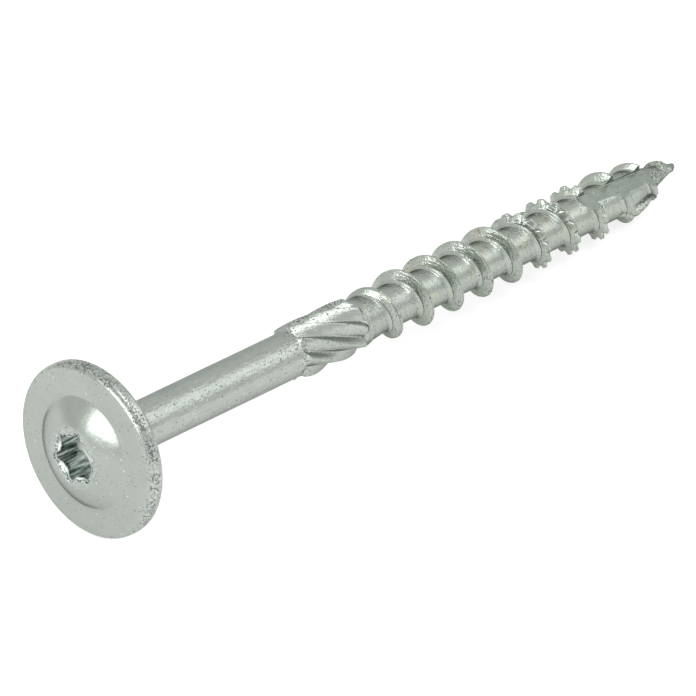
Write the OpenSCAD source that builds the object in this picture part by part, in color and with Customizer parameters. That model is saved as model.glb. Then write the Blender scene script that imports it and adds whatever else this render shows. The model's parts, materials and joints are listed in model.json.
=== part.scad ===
// Washer head wood screw with a six-lobe socket, lying on its rim and its thread.
// The screw is drawn along +Z with its bearing face at zero, then laid along +X.

/* [Head] */
// Diameter of the washer head
head_d = 22; // [18:0.5:26]
// Thickness of the flange at its rim
flange_t = 2.2; // [1.8:0.1:3]
// Rounding of the rim on the drive side
rim_front_r = 0.9; // [0.3:0.1:1.1]
// Rounding of the rim on the bearing side
rim_back_r = 0.6; // [0.2:0.1:0.8]
// Diameter of the raised dome where it meets the flange
dome_d = 14.3; // [12:0.1:16]
// Height of the dome's flat crown above the flange
crown_h = 1.95; // [1:0.05:2.6]
// Diameter of the flat crown round the socket
crown_d = 7.7; // [6.9:0.1:9]
// Diameter of the cone under the head where it leaves the bearing face
collar_d = 8.6; // [7.6:0.1:10]
// Length of the cone under the head
collar_l = 2.4; // [1:0.1:5]

/* [Drive socket] */
// Width of the six-lobe socket over two opposite lobes
socket_lobe_d = 6.75; // [5.6:0.05:6.8]
// Width of the six-lobe socket over two opposite waists
socket_waist_d = 4.85; // [4:0.05:5]
// Radius of each lobe's round end
lobe_end_r = 0.5; // [0.4:0.05:0.7]
// Depth of the lobed walls below the crown
socket_depth = 3.8; // [2:0.1:4]
// Depth of the punched cone below the lobed walls
socket_cone_h = 0.7; // [0.3:0.1:1.2]
// Diameter of the lead-in chamfer at the crown
lead_in_d = 5.3; // [5.1:0.1:6.6]
// Depth of the lead-in chamfer
lead_in_h = 0.6; // [0.2:0.1:1]
// Angle of the first lobe round the axis, from straight down
socket_turn = 7; // [0:1:59]

/* [Shank] */
// Length from the bearing face to the point
screw_l = 100; // [95:1:120]
// Diameter of the plain shank
shank_d = 5.85; // [5.4:0.05:6.4]

/* [Shank ribs] */
// Distance from the bearing face to the start of the ribs
rib_from = 31.7; // [20:0.1:32.5]
// Length of the ribbed stretch
rib_l = 10.8; // [7:0.1:11]
// Number of ribs round the shank
rib_count = 8; // [4:1:12]
// Diameter over the ribs
rib_d = 7; // [6.5:0.05:7.6]
// Diameter in the valleys between the ribs
rib_valley_d = 5; // [4.8:0.05:5.6]
// Length in which a rib would make one full turn
rib_lead = 43; // [30:1:80]
// Length of the ribs' blunt start
rib_start_l = 0.4; // [0.2:0.1:2]
// Length of the ribs' run-out
rib_end_l = 0.6; // [0.2:0.1:2]
// Diameter of the round shoulder after the ribs
shoulder_d = 5.9; // [5.3:0.05:6.3]
// Length over which the shoulder falls to the thread's core
shoulder_l = 4.5; // [1:0.5:8]
// Angle of the first rib at its start, from straight down
rib_turn = 27; // [0:1:89]

/* [Thread] */
// Outside diameter of the thread
thread_d = 8.1; // [7.4:0.05:9]
// Diameter of the core between the turns
core_d = 5.16; // [4.6:0.02:5.6]
// Advance of the thread in one turn
pitch = 5.2; // [4.4:0.05:6.5]
// Distance from the bearing face to the start of the thread, on its lowest line
thread_from = 43.4; // [43:0.1:50]
// Length over which the thread grows to full height
thread_run_in = 8; // [4:0.5:14]
// Fullness of the growing thread, where 1 is a straight rise
thread_run_in_bulge = 2.5; // [1:0.25:4]
// Width of the thread's crest
crest_w = 0.3; // [0.2:0.02:0.5]
// Added width of the crest where the thread starts
crest_w_start = 0.7; // [0.2:0.05:1]
// Depth of the crease in the crest where the thread starts
crease_h = 0.3; // [0.1:0.05:0.5]
// Width of the thread at the foot of its flanks
flank_foot_w = 1.2; // [1:0.05:1.6]
// Width of the hollow fillet beside each flank
root_fillet_w = 0.55; // [0.3:0.05:0.9]

/* [Crest teeth] */
// Number of teeth in one turn
teeth_per_turn = 12; // [10:1:14]
// Depth of the notches between the teeth
tooth_h = 0.55; // [0.2:0.05:0.8]
// Distance from the bearing face to the first notch
teeth_from = 71; // [60:0.5:75]
// Distance from the bearing face to the last notch
teeth_to = 86.5; // [80:0.5:90]

/* [Point] */
// Length of the point over which the thread narrows
thread_taper_l = 22; // [16:1:30]
// Fullness of the narrowing thread, where 1 is a straight cone
thread_taper_bulge = 3.5; // [1:0.25:5]
// Length of the point over which the core narrows
core_taper_l = 9; // [6:0.5:14]
// Diameter of the blunt tip
tip_d = 0.7; // [0.4:0.1:1.2]
// Length of the point that is bent a little off the axis
bend_l = 24; // [12:1:30]
// Distance of the bent tip from the axis
tip_off = 0.45; // [0.1:0.05:0.8]
// Angle towards which the tip is bent, from straight down
bend_turn = 138; // [0:1:359]

/* [Burr along the point] */
// Distance from the tip to the middle of the burr
burr_from_tip = 8; // [6:0.1:12]
// Length of the burr
burr_l = 8; // [3:0.5:10]
// Height of the burr over the core
burr_h = 0.9; // [0.2:0.05:1.2]
// Width of the burr, as an angle round the axis
burr_span = 44; // [24:1:60]
// Angle of the burr, from straight down
burr_turn = 312; // [0:1:359]

/* [Cut notch in the point] */
// Length of the notch from its start on the crests to the tip
notch_l = 21.5; // [14:0.5:26]
// Length over which the notch deepens, along a curve
notch_run_in = 4; // [2:0.5:9]
// Distance of the notch's floor from the axis, where it is first deep
notch_floor = 2.5; // [1.8:0.05:2.8]
// Distance of the notch's floor from the axis, at the tip
notch_floor_tip = 0.8; // [0.6:0.05:1.6]
// Distance from the axis to the notch's upper side
notch_wall = 0.9; // [0:0.05:1.2]
// Distance from the axis to the notch's lower side
notch_reach = 2; // [1.6:0.05:3]
// Angle that the notch's floor faces, from straight down
notch_turn = 200; // [90:1:270]

/* [Hidden] */
$fn = 96;
zinc = "#b9bfba";

head_r = head_d / 2;
shank_r = shank_d / 2;
core_r = core_d / 2;
tip_r = tip_d / 2;
head_h = flange_t + crown_h;
clear = 1;            // how far a cutting body runs past the metal
seat_step = 0.05;     // ledge where the rolled length leaves the plain shank
seat_l = 1;           // length of the rolled length inside the plain shank

// Small helpers
function blend(a, b, t) = a + (b - a) * t;
function limit(t, low, high) = max(low, min(high, t));
function ease(t) = let (u = limit(t, 0, 1)) u * u * (3 - 2 * u);
function polar(r, angle) = [r * cos(angle), r * sin(angle)];

// Six-lobe outline: round lobes and round waists that run into each other
lobe_count = 6;
half_step = 180 / lobe_count;
arc_steps = 6;
lobe_centre = socket_lobe_d / 2 - lobe_end_r;
waist_in = socket_waist_d / 2;
waist_r = (lobe_centre ^ 2 + waist_in ^ 2 - lobe_end_r ^ 2 - 2 * lobe_centre * waist_in * cos(half_step))
        / (2 * (lobe_end_r - waist_in + lobe_centre * cos(half_step)));
waist_centre = waist_in + waist_r;
// direction from a lobe's centre to the next waist's centre
to_waist = polar(waist_centre, half_step) - [lobe_centre, 0];
lobe_sweep = atan2(to_waist[1], to_waist[0]);
waist_sweep = lobe_sweep - half_step;
function lobe_outline() = [
    for (i = [0 : lobe_count - 1], half = [0, 1], k = [0 : arc_steps - 1])
        let (turn = 2 * half_step * i + half * half_step, t = 2 * k / arc_steps - 1)
        half == 0
            ? polar(lobe_centre, turn) + polar(lobe_end_r, turn + lobe_sweep * t)
            : polar(waist_centre, turn) - polar(waist_r, turn - waist_sweep * t)
];

// Ribs: planar rings that turn with the ribs, with the same number of points as a turn of thread
steps = 4 * teeth_per_turn;
rib_to = rib_from + rib_l;
ring_count = 15;
function rib_wave(t) = abs(2 * (t % 1) - 1);
function rib_rise(along) =
    min(limit(along / rib_start_l, 0, 1), limit((rib_l - along) / rib_end_l, 0, 1));
function rib_base(along) =
    along < rib_l / 2 ? shank_r - seat_step : shoulder_d / 2;
function rib_point(along, j) =
    let (turn = 360 * j / steps,
         rolled = blend(rib_valley_d, rib_d, rib_wave(rib_count * j / steps)) / 2,
         r = blend(rib_base(along), rolled, rib_rise(along)))
    [each polar(r, turn + rib_turn + 360 * along / rib_lead), rib_from + along];
// the first and last rings stand at the shank, and those between them carry the full ribs
ring_places = [
    -seat_l, 0,
    for (i = [0 : ring_count - 3]) blend(rib_start_l, rib_l - rib_end_l, i / (ring_count - 3)),
    rib_l
];
rib_rings = [for (along = ring_places, j = [0 : steps - 1]) rib_point(along, j)];

// Thread: rows of points that climb along the helix, one set of rows to each turn
thread_low = rib_to + rib_l / ring_count;
fillet_rise = 0.2;    // share of the thread's height at the foot of a flank
function shoulder_at(z) = blend(shoulder_d / 2, core_r, ease((z - rib_to) / shoulder_l));
function core_at(z) = blend(shoulder_at(z), tip_r, limit(1 - (screw_l - z) / core_taper_l, 0, 1));
function taper_at(z) = limit(1 - (screw_l - z) / thread_taper_l, 0, 1) ^ thread_taper_bulge;
function crest_at(z) = blend(thread_d / 2, tip_r, taper_at(z));
function run_in(z) = limit((z - thread_low) / thread_run_in, 0, 1) ^ (1 / thread_run_in_bulge);
function height_at(z) = max(0, crest_at(z) - core_at(z)) * run_in(z);
function crest_half(z) = (crest_w + crest_w_start * (1 - run_in(z))) / 2;
function foot_half(z) = flank_foot_w / 2 + crest_half(z) - crest_w / 2;
function row_offset(m, z) =
    [-foot_half(z) - root_fillet_w, -foot_half(z), -crest_half(z), 0,
     crest_half(z), foot_half(z), foot_half(z) + root_fillet_w][m];
row_share = [0, fillet_rise, 1, 1, 1, fillet_rise, 0];
rows = len(row_share);
crest_row = 3;
function notched(z, j) = j % 4 == 0 && z > teeth_from && z < teeth_to ? tooth_h : 0;
function bump(t) = max(0, 1 - t ^ 2);
function burr_at(z, angle) =
    burr_h * bump((screw_l - z - burr_from_tip) / (burr_l / 2)) * bump((angle - burr_turn) / (burr_span / 2));
function bend_at(z) = tip_off * limit(1 - (screw_l - z) / bend_l, 0, 1) ^ 2;
function creased(z, m) = m == crest_row ? crease_h * (1 - run_in(z)) : 0;
function thread_point(turn, m, j) =
    let (centre = thread_from + pitch * (turn + j / steps),
         z = limit(centre + row_offset(m, centre), thread_low, screw_l),
         cut = row_share[m] < 1 ? 0 : notched(centre, j) + creased(centre, m),
         over = max(0, height_at(z) * row_share[m] - cut, burr_at(z, 360 * j / steps)),
         r = core_at(z) + over)
    [each polar(r, 360 * j / steps) + polar(bend_at(z), bend_turn), z];
first_turn = -2;
last_turn = ceil((screw_l - thread_from) / pitch) + 1;
thread_rows = [
    for (turn = [first_turn : last_turn], m = [0 : rows - 1], j = [0 : steps - 1])
        thread_point(turn, m, j)
];

// One closed skin from the first rib ring to the tip
skin_points = concat(rib_rings, thread_rows);
thread_at = len(rib_rings);
row_total = len(thread_rows) / steps;
ring_shift = round(steps * (rib_turn / 360 + rib_l / rib_lead));
function ring_index(i, j) = i * steps + j % steps;
function row_index(i, j) =
    thread_at + (j < steps ? i * steps + j : min(i + rows, row_total - 1) * steps);
function join_index(j) = thread_at + (j + ring_shift) % steps;
function two_triangles(a, b, c, d) = [[a, b, c], [a, c, d]];
ring_faces = [
    for (i = [0 : ring_count - 1], j = [0 : steps - 1])
        each two_triangles(ring_index(i, j), ring_index(i + 1, j),
                           ring_index(i + 1, j + 1), ring_index(i, j + 1))
];
join_faces = [
    for (j = [0 : steps - 1])
        each two_triangles(ring_index(ring_count, j), join_index(j),
                           join_index(j + 1), ring_index(ring_count, j + 1))
];
row_faces = [
    for (i = [0 : row_total - 2], j = [0 : steps - 1])
        each two_triangles(row_index(i, j), row_index(i + 1, j),
                           row_index(i + 1, j + 1), row_index(i, j + 1))
];
start_face = [for (j = [0 : steps - 1]) j];
tip_face = [for (j = [steps - 1 : -1 : 0]) row_index(row_total - 1, j)];
// rows that stop at the shoulder or the tip fold onto each other, and their empty triangles are left out
function has_area(f) = let (a = skin_points[f[0]], b = skin_points[f[1]], c = skin_points[f[2]])
    a != b && b != c && c != a;
skin_faces = concat([for (f = concat(ring_faces, join_faces, row_faces)) if (has_area(f)) f],
                    [start_face, tip_face]);

// Rest: the tilt at which the lowest crest first meets the plane under the rim
rim_in = head_r - rim_back_r;
function tilt_to(p) =
    let (along = p[2] + rim_back_r, fall = rim_in - p[0])
    atan2(fall, along) + asin(rim_back_r / norm([along, fall]));
rest_tilt = min([for (p = thread_rows) tilt_to(p)]);
rest_height = rim_in * cos(rest_tilt) + rim_back_r * (1 - sin(rest_tilt));
back_x = -head_h * cos(rest_tilt) - crown_d / 2 * sin(rest_tilt);
front_x = screw_l * cos(rest_tilt) + tip_r * sin(rest_tilt);
rest_x = -(back_x + front_x) / 2;

// Half section of the flange, with its two rim roundings, drawn from the bearing face up
module flange_section() {
    square([head_r - rim_front_r, flange_t]);
    square([head_r - rim_back_r, flange_t - rim_front_r]);
    translate([0, rim_back_r]) square([head_r, flange_t - rim_front_r - rim_back_r]);
    translate([head_r - rim_front_r, flange_t - rim_front_r]) circle(rim_front_r);
    translate([head_r - rim_back_r, rim_back_r]) circle(rim_back_r);
}

// Half section of the dome, a round arc from the flange to the flat crown
module dome_section() {
    arc_drop = ((dome_d / 2) ^ 2 - (crown_d / 2) ^ 2 - crown_h ^ 2) / (2 * crown_h);
    intersection() {
        translate([0, flange_t - arc_drop]) circle(norm([dome_d / 2, arc_drop]));
        square([dome_d / 2, head_h]);
    }
}

// Half section of the plain shank and the cone under the head
module shank_section() {
    polygon([[0, flange_t / 2], [collar_d / 2, flange_t / 2], [collar_d / 2, 0],
             [shank_r, -collar_l], [shank_r, -rib_from], [0, -rib_from]]);
}

module socket_cut() {
    translate([0, 0, head_h - socket_depth])
        linear_extrude(socket_depth + clear) polygon(lobe_outline());
    translate([0, 0, head_h - socket_depth - socket_cone_h])
        cylinder(h = socket_cone_h, r1 = 0, r2 = socket_waist_d / 2);
    translate([0, 0, head_h - lead_in_h])
        cylinder(h = lead_in_h, d1 = socket_waist_d, d2 = lead_in_d);
}

module head_and_shank() {
    difference() {
        rotate_extrude() {
            flange_section();
            dome_section();
            shank_section();
        }
        rotate(-socket_turn) socket_cut();
    }
}

module rolled_length() {
    polyhedron(skin_points, skin_faces, convexity = 10);
}

// The notch is a trough cut along the point, whose floor curves in from the crests and down to the tip
module point_notch() {
    start = screw_l - notch_l;
    deep = start + notch_run_in;
    end = screw_l + clear;
    outside = thread_d / 2 + clear;
    run_in_line = [
        for (k = [0 : arc_steps])
            let (left = 1 - k / arc_steps)
            [blend(notch_floor, outside, left ^ 2), -blend(deep, start, left)]
    ];
    floor_line = [
        for (k = [1 : arc_steps])
            let (done = k / arc_steps)
            [blend(notch_floor, notch_floor_tip, done ^ 2), -blend(deep, end, done)]
    ];
    rotate(notch_turn)
        translate([0, -notch_wall, 0])
        rotate([-90, 0, 0])
        linear_extrude(notch_wall + notch_reach)
        polygon([each run_in_line, each floor_line, [outside, -end]]);
}

module screw() {
    color(zinc)
        translate([rest_x, 0, rest_height])
        rotate([0, 90 + rest_tilt, 0]) {
            rotate([180, 0, 0]) head_and_shank();
            difference() {
                rolled_length();
                point_notch();
            }
        }
}

screw();
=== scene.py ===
# Looks of a washer head wood screw: a fine mesh of the same form, zinc plating, studio light, camera
import json
import math
import bpy
import numpy as np
from mathutils import Matrix, Vector


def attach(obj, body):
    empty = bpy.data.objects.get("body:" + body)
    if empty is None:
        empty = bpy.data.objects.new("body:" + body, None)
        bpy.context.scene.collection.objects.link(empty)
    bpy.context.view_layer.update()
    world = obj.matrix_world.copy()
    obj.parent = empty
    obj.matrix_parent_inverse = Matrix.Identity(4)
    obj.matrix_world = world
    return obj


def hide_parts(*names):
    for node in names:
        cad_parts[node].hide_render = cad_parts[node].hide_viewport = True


mm = 0.001


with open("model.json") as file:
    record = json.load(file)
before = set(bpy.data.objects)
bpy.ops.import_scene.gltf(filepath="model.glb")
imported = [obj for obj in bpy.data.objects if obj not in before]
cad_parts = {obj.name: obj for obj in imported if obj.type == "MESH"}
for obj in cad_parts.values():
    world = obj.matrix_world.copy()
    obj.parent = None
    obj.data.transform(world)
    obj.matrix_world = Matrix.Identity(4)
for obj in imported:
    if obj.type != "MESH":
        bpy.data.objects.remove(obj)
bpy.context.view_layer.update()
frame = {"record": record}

turnSteps = 192                                   # points round the axis, in each ring and each turn
angles = np.arange(turnSteps) * 2 * math.pi / turnSteps
degrees = np.degrees(angles)                      # 0 points straight down on the lying screw
chance = np.random.RandomState(8)                 # fixed seed, so each run gives the same screw


def mix(a, b, t):
    return a + (b - a) * t


def soft(t):                                      # soft step from 0 to 1
    t = np.clip(t, 0, 1)
    return t * t * (3 - 2 * t)


def bump(t):                                      # 1 in the middle, 0 from -1 and 1 outwards
    return np.maximum(0, 1 - t * t)


def wander(x, seed, waves=(1, 2, 3, 5)):          # smooth uneven line, about -1 to 1
    phases = np.random.RandomState(seed).rand(len(waves)) * 2 * math.pi
    return sum(np.sin(w * x + p) for w, p in zip(waves, phases)) / len(waves)


# Rings are stored as radius and height in mm, one value for each angle; height runs from head to point
ringRadius = []
ringHeight = []
ringMask = []                                     # 0 in hollows, 1 on rubbed edges
ringFlow = []                                     # unrolled place, squeezed along the metal's flow
ringFinish = []                                   # material number of the faces that follow the ring
flowSqueeze = 0.12
headFinish, punchPaintedLightFinish, wallPaintedShadeFinish, shankFinish, threadFinish, cutFinish = range(6)


def addRing(radius, height, finish, mask=0.0, twist=0.0):
    ringRadius.append(np.broadcast_to(radius, turnSteps).astype(float))
    ringHeight.append(np.broadcast_to(height, turnSteps).astype(float))
    ringMask.append(np.broadcast_to(mask, turnSteps).astype(float))
    across = np.stack([np.cos(angles - twist), np.sin(angles - twist)], 1) * ringRadius[-1][:, None]
    ringFlow.append(np.column_stack([across, flowSqueeze * ringHeight[-1]]))
    ringFinish.append(finish)


# Washer head with its dome, and the six-lobe socket
headSizes = {
    "headD": 22.0, "flangeT": 2.2, "rimFrontR": 0.9, "rimBackR": 0.6, "domeD": 14.3,
    "crownH": 1.95, "crownD": 7.7, "collarD": 8.6, "collarL": 2.4,
    "domeRings": 14, "domeEnds": (0.25, 0.35), "flangeRings": 6, "flangeEnds": (1.1, 0.1),
    "rimFrontRings": 11, "rimBackRings": 8, "rimBackRubbed": 0.8, "crownRubbed": 0.35,
    "footFillet": ((-0.12, 0.12), (0.06, 0.045), (0.28, 0.012), (0.55, 0)),    # outwards, and up the dome
    "bearingRadii": (9.0, 7.0, 5.5), "collarShares": (0.04, 0.25, 0.5, 0.75, 0.96),
}
socketSizes = {
    "lobeD": 6.75, "waistD": 4.85, "lobeEndR": 0.5, "depth": 3.8, "coneH": 0.7,
    "leadInD": 5.8, "leadInH": 0.6, "turn": 7.0, "lipR": 0.2,
    "coneShares": (0.12, 0.4, 0.7, 0.93, 1.0), "wallRings": 8, "leadInDowns": (0.45, 0.3, 0.2),
    "leadInRubbed": 0.5, "lipRings": 5, "lipWallTurn": 1.0,
}
headTop = -(headSizes["flangeT"] + headSizes["crownH"])


def lobeRadius(around):                           # round lobe ends that run into round waists
    s = socketSizes
    step = math.pi / 6                            # from the middle of a lobe to the middle of a waist
    centre = s["lobeD"] / 2 - s["lobeEndR"]
    waistIn = s["waistD"] / 2
    end = s["lobeEndR"]
    apart = centre ** 2 + waistIn ** 2 - end ** 2 - 2 * centre * waistIn * math.cos(step)
    waistR = apart / (2 * (end - waistIn + centre * math.cos(step)))
    waistC = waistIn + waistR
    toWaist = (waistC * math.cos(step) - centre, waistC * math.sin(step))
    sweep = math.atan2(toWaist[1], toWaist[0])
    meet = math.atan2(end * math.sin(sweep), centre + end * math.cos(sweep))
    rel = np.abs((around + step) % (2 * step) - step)
    lobe = centre * np.cos(rel) + np.sqrt(np.maximum(0, end ** 2 - (centre * np.sin(rel)) ** 2))
    back = step - rel
    waist = waistC * np.cos(back) - np.sqrt(np.maximum(0, waistR ** 2 - (waistC * np.sin(back)) ** 2))
    return np.where(rel <= meet, lobe, waist)


def socketRings():                                # from the punched cone to the crown
    s = socketSizes
    lobes = lobeRadius(angles - math.radians(s["turn"]))
    waist = s["waistD"] / 2
    floor = headTop + s["depth"]
    # the punched cone takes the finish that paints light onto the socket floor
    for share in s["coneShares"]:
        addRing(waist * share, floor + s["coneH"] * (1 - share), punchPaintedLightFinish)
    # the walls take the finish that paints shade into the socket
    for down in np.linspace(s["depth"], s["leadInH"], s["wallRings"]):
        addRing(lobes, headTop + down, wallPaintedShadeFinish)

    def mouth(down):                              # lobes opened by the lead-in cone
        return np.maximum(lobes, mix(s["leadInD"] / 2, waist, down / s["leadInH"]))

    # the lead-in takes the same painted-light finish
    for down in s["leadInDowns"]:
        addRing(mouth(down), headTop + down, punchPaintedLightFinish, s["leadInRubbed"])
    for lift in np.linspace(0, math.pi / 2, s["lipRings"]):           # rounded lip, its lower part in the painted-shade wall finish
        down = s["lipR"] * (1 - math.sin(lift))
        lip = s["lipR"] * (1 - math.cos(lift))
        finish = wallPaintedShadeFinish if lift < s["lipWallTurn"] else headFinish
        addRing(mouth(down) + lip, headTop + down, finish, 1.0)


def headRings():                                  # crown, dome, flange, rim, bearing face and cone
    h = headSizes
    domeR = h["domeD"] / 2
    crownR = h["crownD"] / 2
    headR = h["headD"] / 2
    face = -h["flangeT"]
    drop = (domeR ** 2 - crownR ** 2 - h["crownH"] ** 2) / (2 * h["crownH"])
    ball = math.hypot(domeR, drop)
    addRing(crownR, headTop, headFinish, h["crownRubbed"])
    for r in np.linspace(crownR + h["domeEnds"][0], domeR - h["domeEnds"][1], h["domeRings"]):
        addRing(r, face - math.sqrt(ball ** 2 - r * r) + drop, headFinish)
    for out, rise in h["footFillet"]:
        addRing(domeR + out, face - rise, headFinish)
    flangeOut = headR - h["rimFrontR"] - h["flangeEnds"][1]
    for r in np.linspace(domeR + h["flangeEnds"][0], flangeOut, h["flangeRings"]):
        addRing(r, face, headFinish)
    for t in np.linspace(0, math.pi / 2, h["rimFrontRings"]):
        inner = h["rimFrontR"] * (1 - math.sin(t))
        addRing(headR - inner, face + h["rimFrontR"] * (1 - math.cos(t)), headFinish, math.sin(t))
    for t in np.linspace(0, math.pi / 2, h["rimBackRings"]):
        inner = h["rimBackR"] * (1 - math.cos(t))
        rubbed = h["rimBackRubbed"] * math.cos(t)
        addRing(headR - inner, -h["rimBackR"] * (1 - math.sin(t)), headFinish, rubbed)
    for r in h["bearingRadii"] + (h["collarD"] / 2,):
        addRing(r, 0, headFinish)
    for t in h["collarShares"]:
        addRing(mix(h["collarD"], shankSizes["shankD"], t) / 2, h["collarL"] * t, shankFinish)


# Plain shank, ribbed stretch and round shoulder
shankSizes = {"shankD": 5.85, "uneven": 0.012, "waveL": 9, "waveSeed": 3, "rings": 26, "gap": 0.05}
ribSizes = {
    "from": 31.7, "length": 10.8, "count": 8, "ribD": 7.0, "valleyD": 5.2, "lead": 43.0, "rounding": 0.3,
    "startL": 0.4, "endL": 0.6, "shoulderD": 5.9, "shoulderL": 4.5, "turn": 27.0, "rings": 84,
    "valleyAt": 0.64, "gapPart": 15,
}
ribEnd = ribSizes["from"] + ribSizes["length"]
threadLow = ribEnd + ribSizes["length"] / ribSizes["gapPart"]         # where the thread's rows start


def shankRings():
    s = shankSizes
    for z in np.linspace(headSizes["collarL"], ribSizes["from"] - s["gap"], s["rings"]):
        uneven = s["uneven"] * wander(angles + z / s["waveL"], s["waveSeed"])
        addRing(s["shankD"] / 2 + uneven, z, shankFinish)


def ribRings():                                   # one steep and one broad flank, lightly rounded
    r = ribSizes
    for along in np.linspace(0, r["length"], r["rings"]):
        twist = 2 * math.pi * along / r["lead"]
        turned = angles - math.radians(r["turn"]) - twist
        phase = (r["count"] * turned / (2 * math.pi)) % 1
        falling = 1 - phase / r["valleyAt"]
        rising = (phase - r["valleyAt"]) / (1 - r["valleyAt"])
        straight = np.maximum(falling, rising)
        land = mix(straight, 0.5 - 0.5 * np.cos(math.pi * straight), r["rounding"])
        rise = min(1.0, along / r["startL"], (r["length"] - along) / r["endL"])
        base = shankSizes["shankD"] if along < r["length"] / 2 else r["shoulderD"]
        rolled = mix(r["valleyD"], r["ribD"], land)
        addRing(mix(base, rolled, rise) / 2, r["from"] + along, shankFinish, land * rise, twist)
    middle = (ribEnd + threadLow) / 2
    for z in (middle, threadLow):
        addRing(shoulderAt(z), z, threadFinish)


# Thread with toothed crests, bent point and burr
threadSizes = {
    "threadD": 8.1, "coreD": 5.16, "pitch": 5.2, "from": 43.4, "runIn": 8.0, "runInBulge": 2.5,
    "crestW": 0.3, "crestWStart": 0.7, "creaseH": 0.05, "creaseStart": 0.3,
    "footW": 1.2, "filletW": 0.55, "footShare": 0.2, "lipW": 0.12, "lipShare": 0.05,
    "filletPower": 1.6, "footIn": 0.4, "lipAt": 0.3, "crestEdge": 0.985, "screwL": 100.0,
    "teeth": 12.5, "toothH": 0.62, "toothLeast": 0.75, "toothSpread": 0.5, "toothHalf": 0.33,
    "toothPower": 0.8, "teethFrom": 71.0, "teethTo": 86.5, "teethFade": 0.6,
    "uneven": 0.035, "waves": (1, 2.3, 4.1), "waveRate": 2.1, "waveSeed": 5, "rubbedH": 1.3,
}
pointSizes = {
    "threadTaperL": 22.0, "bulge": 3.5, "coreTaperL": 9.0, "tipD": 0.7,
    "bendL": 24.0, "tipOff": 0.45, "bendTurn": 138.0,
    "burrFromTip": 8.0, "burrL": 8.0, "burrH": 0.9, "burrSpan": 44.0, "burrTurn": 312.0,
    "burrRise": (0.85, 0.4), "burrFall": (1.0, 0.9), "burrCrease": 0.5, "creaseAt": 1.0, "creaseHalf": 0.35,
}
toothDepths = chance.rand(97)


def shoulderAt(z):
    share = soft((z - ribEnd) / ribSizes["shoulderL"])
    return mix(ribSizes["shoulderD"] / 2, threadSizes["coreD"] / 2, share)


def coreAt(z):
    share = np.clip(1 - (threadSizes["screwL"] - z) / pointSizes["coreTaperL"], 0, 1)
    return mix(shoulderAt(z), pointSizes["tipD"] / 2, share)


def runIn(z):
    return np.clip((z - threadLow) / threadSizes["runIn"], 0, 1) ** (1 / threadSizes["runInBulge"])


def heightAt(z):
    left = (threadSizes["screwL"] - z) / pointSizes["threadTaperL"]
    share = np.clip(1 - left, 0, 1) ** pointSizes["bulge"]
    crest = mix(threadSizes["threadD"] / 2, pointSizes["tipD"] / 2, share)
    return np.maximum(0, crest - coreAt(z)) * runIn(z)


def toothCut(centre):                             # V cuts in the crest, each of its own depth
    t = threadSizes
    count = (centre - t["from"]) / t["pitch"] * t["teeth"]
    which = np.floor(count + 0.5).astype(int)
    depth = t["toothH"] * (t["toothLeast"] + t["toothSpread"] * toothDepths[which % len(toothDepths)])
    off = np.abs(count - which)
    begun = soft((centre - t["teethFrom"]) / t["teethFade"])
    inside = begun * soft((t["teethTo"] - centre) / t["teethFade"])
    return depth * np.clip(1 - off / t["toothHalf"], 0, 1) ** t["toothPower"] * inside


def burrAt(z):                                    # lip with a steep upper side and a crease beside it
    p = pointSizes
    lengthwise = bump((threadSizes["screwL"] - z - p["burrFromTip"]) / (p["burrL"] / 2))
    beside = (degrees - p["burrTurn"]) / (p["burrSpan"] / 2)          # -1 and 1 at the burr's sides
    riseAt, riseW = p["burrRise"]
    fallAt, fallW = p["burrFall"]
    lip = soft((beside + riseAt) / riseW) * soft((fallAt - beside) / fallW)
    crease = bump((beside + p["creaseAt"]) / p["creaseHalf"])
    return lengthwise * (p["burrH"] * lip - p["burrCrease"] * crease)


# Rows on one side of the thread, from the core to the crest: kind of place and how far along it
rowPlaces = (("core", 0.55), ("fillet", 1.0), ("fillet", 0.65), ("fillet", 0.35), ("lip", 0.8),
             ("lip", 0.3), ("foot", 0.0), ("flank", 0.5), ("crest", 1.0), ("crest", 0.6))


def rowOffset(kind, part, centre):                # distance from the thread's middle line
    t = threadSizes
    crest = (t["crestW"] + t["crestWStart"] * (1 - runIn(centre))) / 2
    foot = t["footW"] / 2 + crest - t["crestW"] / 2
    edge = foot + t["filletW"]
    if kind == "core":
        return mix(edge, t["pitch"] / 2, part)
    if kind == "fillet":
        return foot + t["filletW"] * part
    if kind == "lip":
        return foot + t["lipW"] * part
    if kind == "foot":
        return foot - t["lipW"] * t["footIn"]
    if kind == "flank":
        return mix(foot, crest, part)
    return crest * part


def rowShare(kind, part):                         # share of the thread's height
    t = threadSizes
    foot = t["footShare"]
    if kind == "core":
        return 0.0
    if kind == "fillet":
        return foot * (1 - part) ** t["filletPower"]
    if kind == "lip":                             # small ridge that the rolling left beside the flank
        return foot + t["lipShare"] * (1 - abs(part - t["lipAt"]))
    if kind == "foot":
        return foot
    if kind == "flank":
        return mix(foot, 1.0, part)
    return t["crestEdge"] if part == 1 else 1.0


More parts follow.
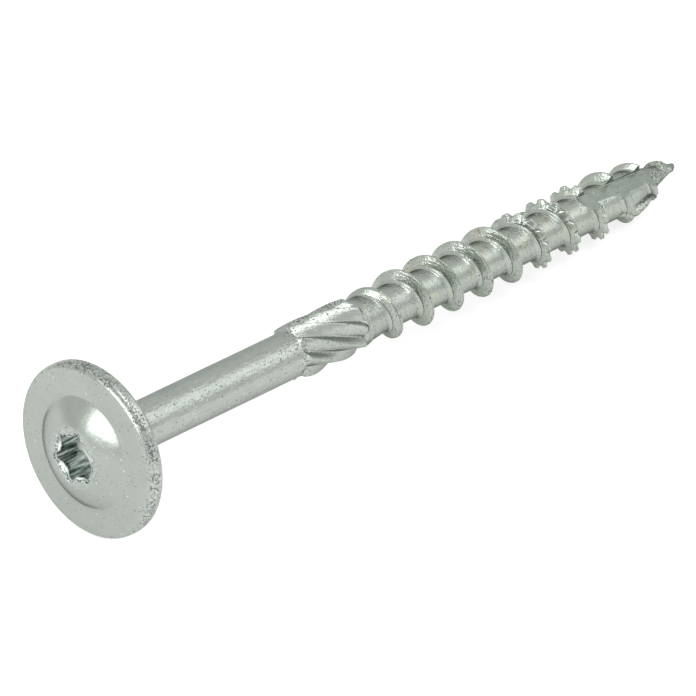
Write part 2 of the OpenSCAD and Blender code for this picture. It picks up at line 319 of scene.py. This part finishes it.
def threadRows():
    t = threadSizes
    p = pointSizes
    rising = [(-1, kind, part) for kind, part in rowPlaces]
    falling = [(1, kind, part) for kind, part in reversed(rowPlaces) if kind != "core"]
    sides = rising + [(0, "crest", 0.0)] + falling + [(1, "core", 0.3)]
    lastTurn = math.ceil((t["screwL"] - t["from"]) / t["pitch"]) + 1
    bendTurn = math.radians(p["bendTurn"])
    rows = []
    masks = []
    flows = []
    for turn in range(-2, lastTurn + 1):          # rows before the start or past the tip fall together
        centre = t["from"] + t["pitch"] * (turn + np.arange(turnSteps) / turnSteps)
        for side, kind, part in sides:
            offset = rowOffset(kind, part, centre)
            z = np.clip(centre + side * offset, threadLow, t["screwL"])
            full = heightAt(z)
            share = rowShare(kind, part)
            crease = mix(t["creaseStart"], t["creaseH"], runIn(centre)) if side == 0 else 0
            swell = t["uneven"] * wander(centre * t["waveRate"], t["waveSeed"], t["waves"])
            wavy = swell * share * np.clip(full, 0, 1)
            uncut = full * share - crease * np.clip(full, 0, 1)
            over = np.maximum(np.minimum(uncut, full - toothCut(centre)) + wavy, 0)
            burr = burrAt(z)
            over = np.where(full > 0, np.where(burr < 0, over + burr, np.maximum(over, burr)), 0)
            r = coreAt(z) + over
            bend = p["tipOff"] * np.clip(1 - (t["screwL"] - z) / p["bendL"], 0, 1) ** 2
            x = r * np.cos(angles) + bend * math.cos(bendTurn)
            y = r * np.sin(angles) + bend * math.sin(bendTurn)
            rows.append(np.stack([x, y, z], 1))
            masks.append(np.clip(over / t["rubbedH"], 0, 1))
            helix = centre / t["pitch"] * math.pi * t["coreD"]
            flows.append(np.column_stack([offset, flowSqueeze * helix, over]))
    return rows, masks, flows, len(sides)


# Dirty places, with painted shade along the burr's crease and painted glint flecks on the rim's right and
# the shank's highlight band: stretch along the screw, least radius, angle and half width in degrees,
# strength
dirtShadeGlintPatches = {
    "rimTop": {"z": (-2.3, -0.4), "least": 9.9, "angle": 180, "half": 34, "strength": 0.6},
    # dirt specks, and white flecks that paint the glint on the rim's right
    "rimRightGlint": {"z": (-2.3, -0.4), "least": 10.2, "angle": 232, "half": 30, "strength": 0.6},
    "rimLow": {"z": (-2.3, -0.4), "least": 10.2, "angle": 284, "half": 34, "strength": 0.6},
    "rimEdge": {"z": (-1.5, -0.1), "least": 10.98, "angle": 60, "half": 180, "strength": 0.4},
    # real pits, and white flecks that paint sparkle on the shank's highlight band
    "shankHighlightSpeckle": {"z": (5.0, 31.5), "least": 0, "angle": 218, "half": 26, "strength": 0.22},
    "ribTop": {"z": (32.6, 42.6), "least": 0, "angle": 150, "half": 13, "strength": 0.7},
    "ribStart": {"z": (30.6, 32.8), "least": 0, "angle": 225, "half": 80, "strength": 0.5},
    # painted shade: a dark line along the burr's crease
    "burrCreaseShade": {"z": (89.5, 97.0), "least": 0, "angle": 290, "half": 6, "strength": 1.8},
    "point": {"z": (94.0, 101.0), "least": 0, "angle": 200, "half": 180, "strength": 0.75},
}
dirtShadeGlintFade = {"longest": 1.0, "lengthShare": 4, "sideShare": 0.5, "radial": 0.3}


def dirtShadeGlintAt(points):
    around = np.degrees(np.arctan2(points[:, 1], points[:, 0]))
    radius = np.hypot(points[:, 0], points[:, 1])
    dirtShadeGlint = np.zeros(len(points))
    for patch in dirtShadeGlintPatches.values():
        low, high = patch["z"]
        fade = min(dirtShadeGlintFade["longest"], (high - low) / dirtShadeGlintFade["lengthShare"])
        lengthwise = soft((points[:, 2] - low) / fade) * soft((high - points[:, 2]) / fade)
        off = np.abs((around - patch["angle"] + 180) % 360 - 180)
        sidewise = soft((patch["half"] - off) / (dirtShadeGlintFade["sideShare"] * patch["half"]))
        outer = soft((radius - patch["least"]) / dirtShadeGlintFade["radial"] + 1)
        dirtShadeGlint = np.maximum(dirtShadeGlint, patch["strength"] * lengthwise * sidewise * outer)
    return dirtShadeGlint


# One closed skin from the socket's floor to the tip
def skin():
    socketRings()
    headRings()
    shankRings()
    ribRings()
    rings = []
    for r, h in zip(ringRadius, ringHeight):
        rings.append(np.stack([r * np.cos(angles), r * np.sin(angles), h], 1))
    rows, rowMasks, rowFlows, perTurn = threadRows()
    points = np.concatenate(rings + rows)
    masks = np.concatenate(ringMask + rowMasks)
    flows = np.concatenate(ringFlow + rowFlows)
    ringTotal = len(rings)
    rowTotal = len(rows)
    tris = []
    numbers = []

    def quads(a, b, c, d, finish):
        tris.append(np.stack([a, b, c], 1))
        tris.append(np.stack([a, c, d], 1))
        numbers.append(np.full(2 * len(a), finish))

    j = np.arange(turnSteps)
    for i in range(ringTotal):                    # the last ring meets the first thread row
        a = i * turnSteps + j
        b = i * turnSteps + (j + 1) % turnSteps
        quads(a, a + turnSteps, b + turnSteps, b, ringFinish[i])
    lastRow = (ringTotal + rowTotal - 1) * turnSteps + (j + 1) % turnSteps
    for i in range(rowTotal - 1):                 # each row runs on into the same row of the next turn
        a = (ringTotal + i) * turnSteps + j
        step = np.where(j == turnSteps - 1, perTurn * turnSteps - (turnSteps - 1), 1)
        c = np.minimum(a + step, lastRow)
        d = np.minimum(a + turnSteps + step, lastRow)
        quads(a, a + turnSteps, d, c, threadFinish)
    first = np.array([[0, 0, headTop + socketSizes["depth"] + socketSizes["coneH"]]])
    last = points[-turnSteps:].mean(0)[None]
    points = np.concatenate([points, first, last])
    masks = np.concatenate([masks, [0, 1]])
    flows = np.concatenate([flows, np.zeros((2, 3))])
    total = len(points)
    tris.append(np.stack([np.full(turnSteps, total - 2), j, (j + 1) % turnSteps], 1))
    ends = total - 2 - turnSteps + j
    tris.append(np.stack([ends, np.full(turnSteps, total - 1), np.roll(ends, -1)], 1))
    # the cap at the cone's middle takes the painted-light finish too
    numbers += [np.full(turnSteps, punchPaintedLightFinish), np.full(turnSteps, threadFinish)]
    numbers = np.concatenate(numbers)
    firstOf, same = np.unique(np.round(points, 5), axis=0, return_index=True, return_inverse=True)[1:]
    tris = same.reshape(-1)[np.concatenate(tris)]                     # points that fall together become one
    good = (tris[:, 0] != tris[:, 1]) & (tris[:, 1] != tris[:, 2]) & (tris[:, 2] != tris[:, 0])
    return points[firstOf], masks[firstOf], flows[firstOf], tris[good], numbers[good]


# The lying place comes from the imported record, so the mesh follows the CAD
mount = [m for m in frame["record"]["mounts"] if m["name"] == "under_head"][0]
alongScrew = Vector(mount["axis"]).normalized()
acrossScrew = Vector((0, 1, 0))
downwards = acrossScrew.cross(alongScrew)
laying = Matrix((downwards, acrossScrew, alongScrew)).transposed().to_4x4()
laying.translation = Vector(mount["pos_m"])


def meshFrom(name, points, tris, numbers, layers):
    mesh = bpy.data.meshes.new(name)
    mesh.from_pydata(points.tolist(), [], tris.tolist())
    mesh.polygons.foreach_set("material_index", numbers.astype(np.int32))
    for label, values in layers.items():
        single = values.ndim == 1
        layer = mesh.attributes.new(label, "FLOAT" if single else "FLOAT_VECTOR", "POINT")
        layer.data.foreach_set("value" if single else "vector", values.astype(np.float32).ravel())
    mesh.update()
    return mesh


# Trough cut along the point: a curved floor between two sides, with a small fillet at the upper one
notchSizes = {
    "length": 21.5, "runIn": 4.0, "floor": 2.5, "floorTip": 0.8, "wall": 0.9, "reach": 2.0,
    "turn": 200.0, "filletR": 0.1, "filletSteps": 6, "steps": 14, "past": 1,
}


def notchMesh():
    n = notchSizes
    end = threadSizes["screwL"] + n["past"]
    start = threadSizes["screwL"] - n["length"]
    outside = threadSizes["threadD"] / 2 + n["past"]
    outer = outside + n["past"]
    turn = math.radians(n["turn"])
    deep = start + n["runIn"]
    shares = np.linspace(0, 1, n["steps"])
    stations = [(mix(start, deep, t), mix(n["floor"], outside, (1 - t) ** 2)) for t in shares]
    stations += [(mix(deep, end, t), mix(n["floor"], n["floorTip"], t ** 2)) for t in shares[1:]]
    points = []
    for z, floor in stations:
        section = [(outer, -n["wall"])]
        for t in np.linspace(0, math.pi / 2, n["filletSteps"]):
            up = n["filletR"] * (1 - math.sin(t))
            inwards = n["filletR"] * (1 - math.cos(t))
            section.append((floor + up, inwards - n["wall"]))
        section += [(floor, n["reach"]), (outer, n["reach"])]
        for u, v in section:
            x = u * math.cos(turn) - v * math.sin(turn)
            y = u * math.sin(turn) + v * math.cos(turn)
            points.append((x, y, z))
    size = len(section)
    faces = [(0, k + 1, k) for k in range(1, size - 1)]
    base = len(points) - size
    faces += [(base, base + k, base + k + 1) for k in range(1, size - 1)]
    for i in range(len(stations) - 1):
        for k in range(size):
            a = i * size + k
            b = i * size + (k + 1) % size
            faces += [(a, b, b + size), (a, b + size, a + size)]
    points = np.array(points)
    layers = {"rubbed": np.zeros(len(points)), "dirtShadeGlint": np.zeros(len(points))}
    layers["flow"] = points * (1, 1, flowSqueeze)
    return meshFrom("pointNotch", points, np.array(faces), np.full(len(faces), cutFinish), layers)


def outwards(mesh):                               # turn the faces so that they look outwards
    volume = 0.0
    for poly in mesh.polygons:
        a, b, c = (mesh.vertices[v].co for v in poly.vertices)
        volume += a.dot(b.cross(c))
    if volume < 0:
        mesh.flip_normals()


# Short helpers for shader nodes
def groupShell(name, inputs, outputs):
    group = bpy.data.node_groups.new(name, "ShaderNodeTree")
    for label, kind, value in inputs:
        socketIn = group.interface.new_socket(label, in_out="INPUT", socket_type=kind)
        socketIn.default_value = value
    for label, kind in outputs:
        group.interface.new_socket(label, in_out="OUTPUT", socket_type=kind)
    return group, group.nodes.new("NodeGroupInput"), group.nodes.new("NodeGroupOutput")


def node(tree, kind, **settings):
    made = tree.nodes.new(kind)
    for key, value in settings.items():
        setattr(made, key, value)
    return made


def feed(tree, value, target):                    # a socket is linked, a number or colour is set
    if isinstance(value, bpy.types.NodeSocket):
        tree.links.new(value, target)
    else:
        target.default_value = value


def calc(tree, operation, *values):
    made = node(tree, "ShaderNodeMath", operation=operation)
    for place, value in enumerate(values):
        feed(tree, value, made.inputs[place])
    return made.outputs[0]


def ramp(tree, value, low, high):                 # soft step of a value, falling where low is above high
    made = node(tree, "ShaderNodeMapRange", interpolation_type="SMOOTHSTEP")
    feed(tree, value, made.inputs["Value"])
    feed(tree, low, made.inputs["From Min"])
    feed(tree, high, made.inputs["From Max"])
    return made.outputs["Result"]


def blendColor(tree, factor, a, b):
    made = node(tree, "ShaderNodeMix", data_type="RGBA")
    for place, value in ((0, factor), (6, a), (7, b)):
        feed(tree, value, made.inputs[place])
    return made.outputs[2]


def noise(tree, vector, scale, detail, rough):
    made = node(tree, "ShaderNodeTexNoise")
    feed(tree, vector, made.inputs["Vector"])
    for label, value in (("Scale", scale), ("Detail", detail), ("Roughness", rough)):
        made.inputs[label].default_value = value
    return made.outputs["Fac"]


# Node groups for the plating; each pattern has its noise scale, detail and roughness, and its limits
patternLooks = {
    "clouds": {"noise": (260, 4, 0.6), "limits": (0.32, 0.68)},
    "streaks": {"noise": (3.2, 3, 0.6), "limits": (0.32, 0.68)},
    "drift": {"noise": (520, 2, 0.5), "limits": (0.52, 0.75)},
    "grain": {"noise": (4200, 2, 0.6)},
    "dimples": {"noise": (1500, 2, 0.5)},
    "speckSpread": {"noise": (170, 2, 0.5), "limits": (0.4, 0.7)},
    "wearSpread": {"noise": (420, 3, 0.6), "limits": (0.42, 0.62)},
    "wearGrain": {"noise": (3600, 3, 0.6), "dirtLimits": (0.62, 0.72), "brightLimits": (0.48, 0.38)},
}
reliefShares = {"grain": 0.5, "streaks": 0.4}     # heights of these beside the dimples' height
speckLooks = {"Pit": ("Pits", 1700, 0.22), "Fleck": ("Flecks", 2300, 0.24)}     # amount, cell scale, size
speckCore = 0.45                                  # share of a speck that has its full colour
wearPush = {"rubbed": 0.14, "dirtShadeGlint": 0.16}        # how far rubbing and the dirt, painted-shade and painted-glint patches lift the wear's grain


def pattern(tree, vector, name):                  # plain noise, or a soft step of it where it has limits
    look = patternLooks[name]
    made = noise(tree, vector, *look["noise"])
    return ramp(tree, made, *look["limits"]) if "limits" in look else made


def platingGroup():                               # cloudy and streaky zinc, a faint warm drift, a fine grain
    group, start, end = groupShell(
        "zincPlating",
        [("Vector", "NodeSocketVector", (0, 0, 0)), ("Flow", "NodeSocketVector", (0, 0, 0)),
         ("Pale", "NodeSocketColor", (0.5, 0.53, 0.5, 1)),
         ("Dull", "NodeSocketColor", (0.4, 0.43, 0.4, 1)),
         ("Warm", "NodeSocketColor", (0.5, 0.49, 0.38, 1)), ("Warmth", "NodeSocketFloat", 0.3),
         ("Streaks", "NodeSocketFloat", 0.5)],
        [("Color", "NodeSocketColor"), ("Grain", "NodeSocketFloat"), ("Relief", "NodeSocketFloat")])
    vector = start.outputs["Vector"]
    cloudy = pattern(group, vector, "clouds")
    streaky = pattern(group, start.outputs["Flow"], "streaks")
    grain = pattern(group, vector, "grain")
    dimple = pattern(group, vector, "dimples")
    drift = pattern(group, vector, "drift")
    uneven = node(group, "ShaderNodeMix")
    for place, value in ((0, start.outputs["Streaks"]), (2, cloudy), (3, streaky)):
        feed(group, value, uneven.inputs[place])
    base = blendColor(group, uneven.outputs[0], start.outputs["Dull"], start.outputs["Pale"])
    warm = calc(group, "MULTIPLY", drift, start.outputs["Warmth"])
    feed(group, blendColor(group, warm, base, start.outputs["Warm"]), end.inputs["Color"])
    feed(group, grain, end.inputs["Grain"])
    height = calc(group, "MULTIPLY_ADD", grain, reliefShares["grain"], dimple)
    lines = calc(group, "MULTIPLY", streaky, start.outputs["Streaks"])
    height = calc(group, "MULTIPLY_ADD", lines, reliefShares["streaks"], height)
    feed(group, height, end.inputs["Relief"])
    return group


def specksGroup():                                # small dark pits and bright flecks in the plating
    group, start, end = groupShell(
        "zincSpecks",
        [("Vector", "NodeSocketVector", (0, 0, 0)), ("Pits", "NodeSocketFloat", 0.5),
         ("Flecks", "NodeSocketFloat", 0.5)],
        [("Pit", "NodeSocketFloat"), ("Fleck", "NodeSocketFloat")])
    vector = start.outputs["Vector"]
    spread = pattern(group, vector, "speckSpread")
    for label, (amount, scale, size) in speckLooks.items():
        cells = node(group, "ShaderNodeTexVoronoi", feature="F1")
        feed(group, vector, cells.inputs["Vector"])
        cells.inputs["Scale"].default_value = scale
        dot = ramp(group, cells.outputs["Distance"], size, size * speckCore)
        split = node(group, "ShaderNodeSeparateColor")
        feed(group, cells.outputs["Color"], split.inputs["Color"])
        limit = calc(group, "SUBTRACT", 1.0, calc(group, "MULTIPLY", start.outputs[amount], spread))
        chosen = calc(group, "GREATER_THAN", split.outputs[0], limit)
        feed(group, calc(group, "MULTIPLY", dot, chosen), end.inputs[label])
    return group


def wearShadeGlintGroup():                                  # dark speckle of dirt and painted crease shade, and white flecks of worn metal and painted glints, on rubbed places and marked patches
    group, start, end = groupShell(
        "wearShadeAndGlint",
        [("Vector", "NodeSocketVector", (0, 0, 0)), ("Rubbed", "NodeSocketFloat", 0.0),
         ("DirtShadeGlint", "NodeSocketFloat", 0.0), ("Amount", "NodeSocketFloat", 0.5)],
        [("DirtAndShade", "NodeSocketFloat"), ("Bright", "NodeSocketFloat")])
    vector = start.outputs["Vector"]
    limits = patternLooks["wearGrain"]
    rough = pattern(group, vector, "wearGrain")
    patch = pattern(group, vector, "wearSpread")
    strong = calc(group, "MULTIPLY", start.outputs["Rubbed"], start.outputs["Amount"])
    uneven = calc(group, "MULTIPLY", strong, patch)
    level = calc(group, "MULTIPLY_ADD", uneven, wearPush["rubbed"], rough)
    level = calc(group, "MULTIPLY_ADD", start.outputs["DirtShadeGlint"], wearPush["dirtShadeGlint"], level)
    feed(group, ramp(group, level, *limits["dirtLimits"]), end.inputs["DirtAndShade"])
    either = calc(group, "MAXIMUM", strong, start.outputs["DirtShadeGlint"])
    glint = ramp(group, rough, *limits["brightLimits"])
    feed(group, calc(group, "MULTIPLY", glint, either), end.inputs["Bright"])
    return group


platingNodes = platingGroup()
specksNodes = specksGroup()
wearShadeGlintNodes = wearShadeGlintGroup()

# One entry for each finish, in the order of the material numbers; colours are linear, relief is in mm
finishLooks = {
    "zincHead": {
        # the head's white-fleck share is raised to paint the rim's glint
        "pale": (0.425, 0.46, 0.424, 1), "dull": (0.388, 0.424, 0.388, 1), "warmth": 0.1, "streaks": 0.3,
        "pits": 0.15, "flecks": 0.1, "wear": 0.6, "wornAndGlintFlecks": 0.7, "edge": 0.7, "metal": 1.0,
        "rough": 0.25, "swing": 0.05, "relief": 0.015,
    },
    # socket floor and lead-in: a near-white, barely metallic colour paints light onto them in place of the
    # zinc's bright reflection
    "punchedFacePaintedLight": {
        "pale": (0.94, 0.96, 0.94, 1), "dull": (0.84, 0.87, 0.85, 1), "warmth": 0.0, "streaks": 0.0,
        "pits": 0.2, "flecks": 0.2, "wear": 0.0, "wornAndGlintFlecks": 0.0, "edge": 0.9, "metal": 0.1,
        "rough": 0.5, "swing": 0.1, "relief": 0.05,
    },
    # socket walls: the near-black dull colour paints shade into the recess, the pale streaks paint streaky
    # reflections, and white flecks on the rubbed lip paint glints
    "punchedWallPaintedShade": {
        "pale": (0.75, 0.82, 0.775, 1), "dull": (0.04, 0.074, 0.062, 1), "warmth": 0.0, "streaks": 0.9,
        "pits": 0.2, "flecks": 0.2, "wear": 0.4, "wornAndGlintFlecks": 1.0, "edge": 0.8, "metal": 1.0,
        "rough": 0.18, "swing": 0.08, "relief": 0.04,
    },
    "zincShank": {
        "pale": (0.47, 0.507, 0.465, 1), "dull": (0.40, 0.438, 0.40, 1), "warmth": 0.12, "streaks": 0.6,
        "pits": 0.25, "flecks": 0.3, "wear": 0.35, "wornAndGlintFlecks": 0.5, "edge": 0.48, "metal": 1.0,
        "rough": 0.22, "swing": 0.08, "relief": 0.05,
    },
    "zincThread": {
        "pale": (0.475, 0.51, 0.463, 1), "dull": (0.385, 0.425, 0.382, 1), "warmth": 0.5, "streaks": 0.6,
        "pits": 0.3, "flecks": 0.5, "wear": 0.7, "wornAndGlintFlecks": 0.15, "edge": 0.3, "metal": 1.0,
        "rough": 0.22, "swing": 0.08, "relief": 0.05,
    },
    "zincCut": {
        "pale": (0.395, 0.44, 0.392, 1), "dull": (0.282, 0.324, 0.284, 1), "warmth": 0.15, "streaks": 0.7,
        "pits": 0.2, "flecks": 0.2, "wear": 0.0, "wornAndGlintFlecks": 0.0, "edge": 0.6, "metal": 1.0,
        "rough": 0.22, "swing": 0.06, "relief": 0.02,
    },
}
sharedLook = {
    # the dark colour serves dirt and the painted crease shade; the fleck colour serves bright flecks and
    # painted glints
    "pit": (0.12, 0.125, 0.115, 1), "dirtAndShade": (0.10, 0.104, 0.094, 1), "fleckAndGlint": (0.84, 0.86, 0.83, 1),
    "warm": (0.50, 0.485, 0.35, 1), "dirtShare": 0.75, "dirtRough": 0.3, "dirtSink": 0.4,
}


def zincMaterial(name):
    look = finishLooks[name]
    shared = sharedLook
    material = bpy.data.materials.new(name)
    material.use_nodes = True
    tree = material.node_tree
    shader = tree.nodes["Principled BSDF"]
    shader.inputs["Metallic"].default_value = look["metal"]
    shader.inputs["Specular Tint"].default_value = (look["edge"], look["edge"], look["edge"], 1)
    place = node(tree, "ShaderNodeTexCoord").outputs["Object"]
    plating = node(tree, "ShaderNodeGroup", node_tree=platingNodes)
    specks = node(tree, "ShaderNodeGroup", node_tree=specksNodes)
    wear = node(tree, "ShaderNodeGroup", node_tree=wearShadeGlintNodes)
    for made in (plating, specks, wear):
        feed(tree, place, made.inputs["Vector"])
    flow = node(tree, "ShaderNodeAttribute", attribute_name="flow")
    feed(tree, flow.outputs["Vector"], plating.inputs["Flow"])
    for label, value in (("Pale", look["pale"]), ("Dull", look["dull"]), ("Warm", shared["warm"]),
                         ("Warmth", look["warmth"]), ("Streaks", look["streaks"])):
        plating.inputs[label].default_value = value
    specks.inputs["Pits"].default_value = look["pits"]
    specks.inputs["Flecks"].default_value = look["flecks"]
    wear.inputs["Amount"].default_value = look["wear"]
    for label, layer in (("Rubbed", "rubbed"), ("DirtShadeGlint", "dirtShadeGlint")):
        values = node(tree, "ShaderNodeAttribute", attribute_name=layer)
        feed(tree, values.outputs["Fac"], wear.inputs[label])
    # white flecks on rubbed places and marked patches: worn metal, and painted glints on the rim and the
    # shank's highlight band
    wornAndGlintShare = calc(tree, "MULTIPLY", wear.outputs["Bright"], look["wornAndGlintFlecks"])
    color = blendColor(tree, wornAndGlintShare, plating.outputs["Color"], shared["fleckAndGlint"])
    color = blendColor(tree, specks.outputs["Fleck"], color, shared["fleckAndGlint"])
    # dark speckle: dirt, and painted shade along the burr's crease
    dark = calc(tree, "MULTIPLY", wear.outputs["DirtAndShade"], shared["dirtShare"])
    color = blendColor(tree, dark, color, shared["dirtAndShade"])
    pit = calc(tree, "MULTIPLY", specks.outputs["Pit"], shared["dirtShare"])
    color = blendColor(tree, pit, color, shared["pit"])
    feed(tree, color, shader.inputs["Base Color"])
    dirty = calc(tree, "MAXIMUM", specks.outputs["Pit"], wear.outputs["DirtAndShade"])
    least = look["rough"] - look["swing"]
    rough = calc(tree, "MULTIPLY_ADD", plating.outputs["Grain"], look["swing"] * 2, least)
    feed(tree, calc(tree, "MULTIPLY_ADD", dirty, shared["dirtRough"], rough), shader.inputs["Roughness"])
    height = calc(tree, "MULTIPLY_ADD", dirty, -shared["dirtSink"], plating.outputs["Relief"])
    relief = node(tree, "ShaderNodeBump")
    relief.inputs["Distance"].default_value = look["relief"] * mm
    feed(tree, height, relief.inputs["Height"])
    feed(tree, relief.outputs["Normal"], shader.inputs["Normal"])
    return material


finishes = [zincMaterial(name) for name in finishLooks]
print("finishes made:", [m.name for m in finishes])


# The screw itself
sharpAngle = 38                                   # edges that turn by more degrees stay sharp


def crispCut(mesh):                               # edges round the trough stay sharp at low angles too
    edges = np.empty(len(mesh.loops), np.int32)
    counts = np.empty(len(mesh.polygons), np.int32)
    finishOf = np.empty(len(mesh.polygons), np.int32)
    mesh.loops.foreach_get("edge_index", edges)
    mesh.polygons.foreach_get("loop_total", counts)
    mesh.polygons.foreach_get("material_index", finishOf)
    isCut = np.repeat(finishOf == cutFinish, counts)
    cutSides = np.bincount(edges[isCut], minlength=len(mesh.edges))
    for i in np.flatnonzero(cutSides == 1):
        mesh.edges[int(i)].use_edge_sharp = True


def screwPiece():
    points, rubbed, flow, tris, numbers = skin()
    layers = {"rubbed": rubbed, "dirtShadeGlint": dirtShadeGlintAt(points), "flow": flow}
    mesh = meshFrom("screwSkin", points, tris, numbers, layers)
    cutter = notchMesh()
    for part in (mesh, cutter):
        outwards(part)
        for finish in finishes:
            part.materials.append(finish)
    body = bpy.data.objects.new("screwBody", mesh)
    knife = bpy.data.objects.new("pointKnife", cutter)
    for made in (body, knife):
        bpy.context.scene.collection.objects.link(made)
    cut = body.modifiers.new("notch", "BOOLEAN")
    cut.operation = "DIFFERENCE"
    cut.solver = "MANIFOLD"
    cut.object = knife
    graph = bpy.context.evaluated_depsgraph_get()
    result = bpy.data.meshes.new_from_object(body.evaluated_get(graph))
    body.modifiers.clear()
    body.data = result
    result.name = "screwBody"
    bpy.data.objects.remove(knife)
    result.transform(laying @ Matrix.Scale(mm, 4))
    for poly in result.polygons:
        poly.use_smooth = True
    result.set_sharp_from_angle(angle=math.radians(sharpAngle))
    crispCut(result)
    triangles = sum(len(p.vertices) - 2 for p in result.polygons)
    print("screw mesh:", len(result.vertices), "points,", triangles, "triangles")
    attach(body, "root")
    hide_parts("screw")


screwPiece()

# Pale lit table, even studio light, and soft boxes for the highlights; glow is light per area
stageLook = {
    "floorSide": 6.0, "floorColor": (0.4, 0.4, 0.4, 1), "floorRough": 0.9, "floorSpecular": 0.1,
    "glowColor": (1, 1, 1, 1), "floorGlow": 0.72,
    "world": (0.84, 0.85, 0.85, 1), "worldStrength": 1.0,
}
lightLooks = {
    "leftBox": {"at": (-0.676, -0.022, 0.364), "to": (-0.05, 0, 0.011), "size": (0.6, 0.34), "glow": 3.0},
    "rightBox": {"at": (0.53, -0.33, 0.46), "to": (0.0, 0, 0.008), "size": (0.44, 0.44), "glow": 0.7},
    "topBox": {"at": (0.22, -0.30, 0.83), "to": (0.2, 0, 0.008), "size": (0.32, 0.6), "glow": 2.4},
    "frontBox": {"at": (-0.75, -0.72, 0.75), "to": (0.0, 0, 0.008), "size": (0.22, 0.22), "glow": 2.0},
}


def stageParts():
    s = stageLook
    half = s["floorSide"] / 2
    mesh = bpy.data.meshes.new("floor")
    corners = [(-half, -half, 0), (half, -half, 0), (half, half, 0), (-half, half, 0)]
    mesh.from_pydata(corners, [], [(0, 1, 2, 3)])
    floor = bpy.data.objects.new("floor", mesh)
    bpy.context.scene.collection.objects.link(floor)
    paper = bpy.data.materials.new("litTable")
    paper.use_nodes = True
    shader = paper.node_tree.nodes["Principled BSDF"]
    for label, key in (("Base Color", "floorColor"), ("Roughness", "floorRough"),
                       ("Specular IOR Level", "floorSpecular"), ("Emission Color", "glowColor"),
                       ("Emission Strength", "floorGlow")):
        shader.inputs[label].default_value = s[key]
    mesh.materials.append(paper)
    world = bpy.data.worlds.new("studio")
    world.use_nodes = True
    sky = world.node_tree.nodes["Background"]
    sky.inputs["Color"].default_value = s["world"]
    sky.inputs["Strength"].default_value = s["worldStrength"]
    bpy.context.scene.world = world
    for name, look in lightLooks.items():
        lamp = bpy.data.lights.new(name, "AREA")
        lamp.shape = "RECTANGLE"
        lamp.size, lamp.size_y = look["size"]
        lamp.energy = look["glow"] * math.pi * lamp.size * lamp.size_y
        box = bpy.data.objects.new(name, lamp)
        box.location = look["at"]
        facing = Vector(look["to"]) - Vector(look["at"])
        box.rotation_euler = facing.to_track_quat("-Z", "Y").to_euler()
        bpy.context.scene.collection.objects.link(box)
    bpy.context.scene.view_settings.view_transform = "Standard"


stageParts()
print("stage and lights set")

# Camera at the photograph's angle; originPixel is where the frame's origin lies in the picture
cameraLook = {
    "azimuth": -45.83, "elevation": 34.99, "roll": 0.43, "distance": 1.0348, "pixelsPerMm": 8.271,
    "originPixel": (381.77, 356.96), "frameSize": 696, "sensor": 36, "clip": (0.01, 20),
}


def cameraPiece():
    c = cameraLook
    az, el, roll = (math.radians(c[k]) for k in ("azimuth", "elevation", "roll"))
    forward = Vector((-math.sin(az) * math.cos(el), math.cos(az) * math.cos(el), -math.sin(el)))
    level = Vector((math.cos(az), math.sin(az), 0))
    upright = level.cross(forward)
    right = level * math.cos(roll) + upright * math.sin(roll)
    up = upright * math.cos(roll) - level * math.sin(roll)
    middle = c["frameSize"] / 2
    scale = c["pixelsPerMm"] / mm
    originX, originY = c["originPixel"]
    aim = right * ((middle - originX) / scale) + up * ((originY - middle) / scale)
    data = bpy.data.cameras.new("photoCamera")
    data.sensor_width = c["sensor"]
    data.lens = scale * c["distance"] * c["sensor"] / c["frameSize"]
    data.clip_start, data.clip_end = c["clip"]
    camera = bpy.data.objects.new("photoCamera", data)
    turn = Matrix((right, up, -forward)).transposed().to_4x4()
    turn.translation = aim - forward * c["distance"]
    camera.matrix_world = turn
    bpy.context.scene.collection.objects.link(camera)
    bpy.context.scene.camera = camera


cameraPiece()
print("camera set")
